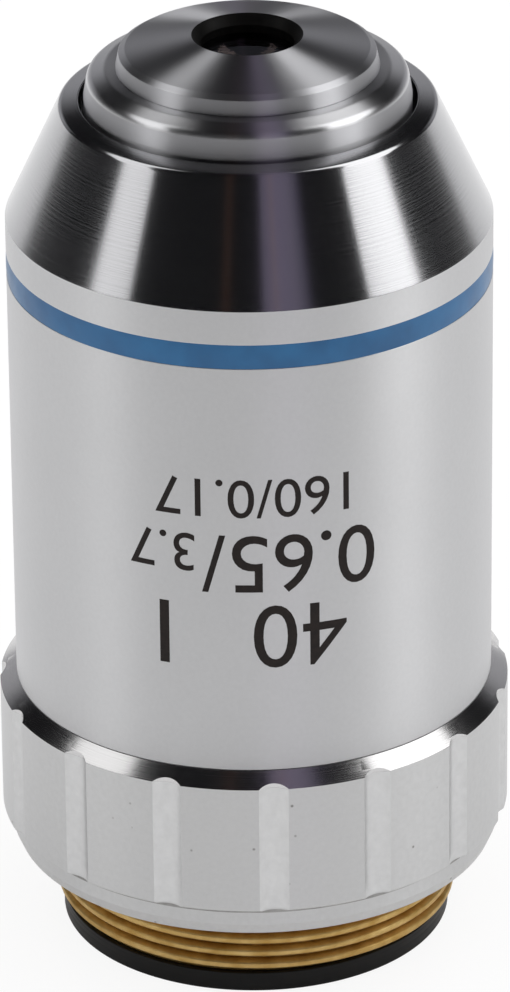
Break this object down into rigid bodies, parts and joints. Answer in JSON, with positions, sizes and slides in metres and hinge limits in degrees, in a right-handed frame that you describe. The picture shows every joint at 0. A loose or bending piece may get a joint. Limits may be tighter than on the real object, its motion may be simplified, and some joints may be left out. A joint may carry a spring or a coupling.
{
  "type": "microscope objective",
  "caption": "Screw-in microscope objective: fluted grip ring over a short brass thread, satin cylinder with a blue band, polished cone and a spring-loaded nose with a small front lens.",
  "frame": {"origin": "on the optical axis, in the plane of the seating shoulder, where the objective meets its nosepiece", "axes": "+Z along the optical axis, from the mounting thread towards the nose; -Y towards the middle of the printed markings"},
  "size_m": [0.0256, 0.0256, 0.0479],
  "materials": {
    "satin_nickel": "satin",
    "satin_chrome": "satin",
    "polished_chrome": "polished",
    "blue_lacquer": "gloss",
    "black_ring": "satin",
    "blackened_brass": "matte",
    "coated_glass": "polished",
    "spring_steel": "satin",
    "screw_steel": "satin"
  },
  "bodies": {
    "housing": {"mount_ring": "satin_nickel", "rear_ring": "black_ring", "outer_sleeve": "satin_chrome", "colour_band": "blue_lacquer", "guide_screw": "screw_steel", "return_spring": "spring_steel"},
    "nose": {"lens_barrel": "polished_chrome", "front_cell": "polished_chrome", "front_lens": "coated_glass", "second_cell": "blackened_brass", "second_lens": "coated_glass", "third_cell": "blackened_brass", "third_flint": "coated_glass", "third_crown": "coated_glass", "spacer": "blackened_brass", "aperture_stop": "blackened_brass", "fourth_cell": "blackened_brass", "fourth_crown": "coated_glass", "fourth_flint": "coated_glass", "long_spacer": "blackened_brass", "rear_cell": "blackened_brass", "rear_crown": "coated_glass", "rear_flint": "coated_glass", "lock_ring": "blackened_brass"}
  },
  "joints": [
    {"name": "nose_slide", "type": "slide", "parent": "housing", "child": "nose", "axis": [0, 0, -1], "range_m": [0, 0.002], "stiffness_N_per_m": 127, "springref_m": -0.008, "deforming": ["return_spring"]}
  ]
}
